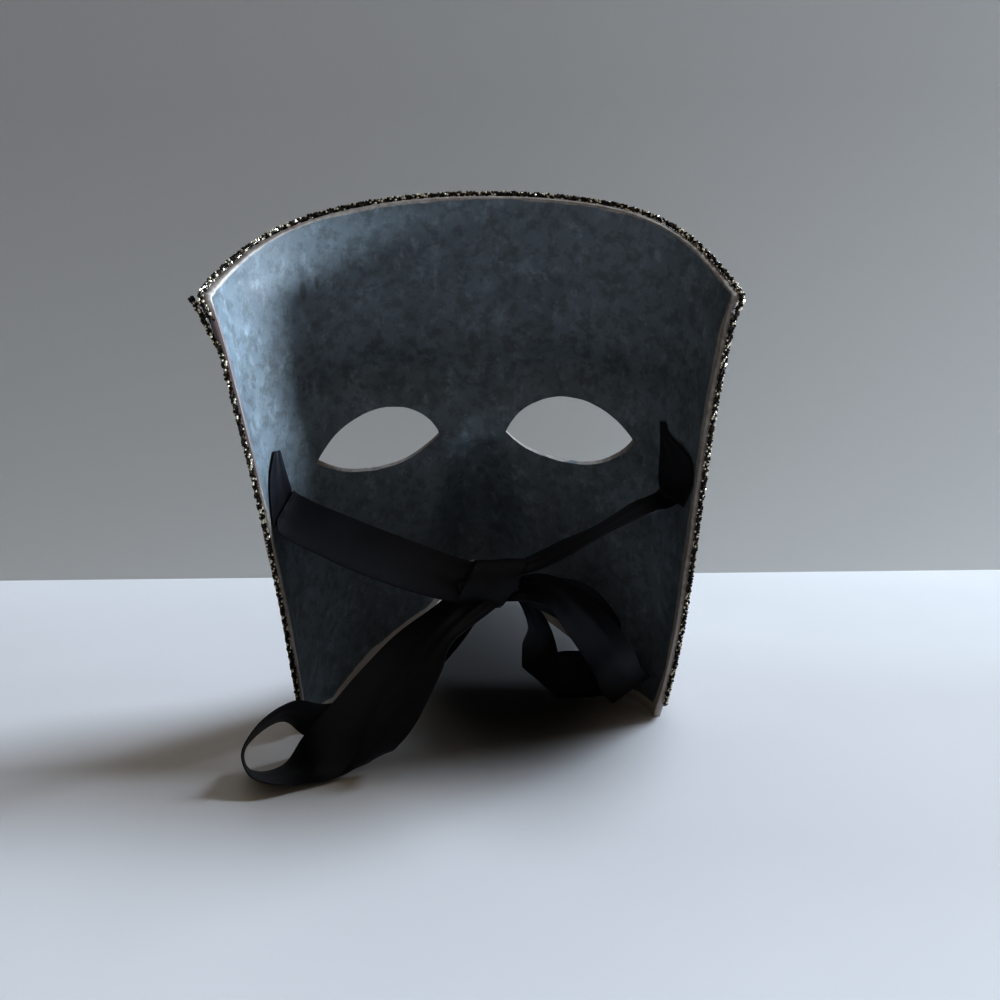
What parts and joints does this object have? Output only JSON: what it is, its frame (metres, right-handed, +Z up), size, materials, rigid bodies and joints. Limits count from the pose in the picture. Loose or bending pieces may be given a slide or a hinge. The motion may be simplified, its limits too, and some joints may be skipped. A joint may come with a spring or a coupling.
{
  "type": "harlequin half mask",
  "caption": "Tall-browed papier-mache half mask with almond eye holes, a beaded braid edge and satin ribbons tied in a bow.",
  "frame": {"origin": "on the table, under the middle of the whole mask's box", "axes": "+Z up as it stands on its two cheek tips, leaned back 15 degrees; -Y the way the hollow inside faces, +Y the way the painted face looks; +X to the right of someone who looks into the hollow"},
  "size_m": [0.1619, 0.1107, 0.1852],
  "materials": {
    "papier": "brushed matt paint inside, painted lozenges outside, raw at the edges",
    "braid": "beaded braid with metallic thread",
    "satin": "black satin ribbon"
  },
  "bodies": {
    "root": {"mask_shell": "papier", "edge_braid": "braid", "ribbon_left": "satin", "ribbon_right": "satin"}
  },
  "joints": []
}
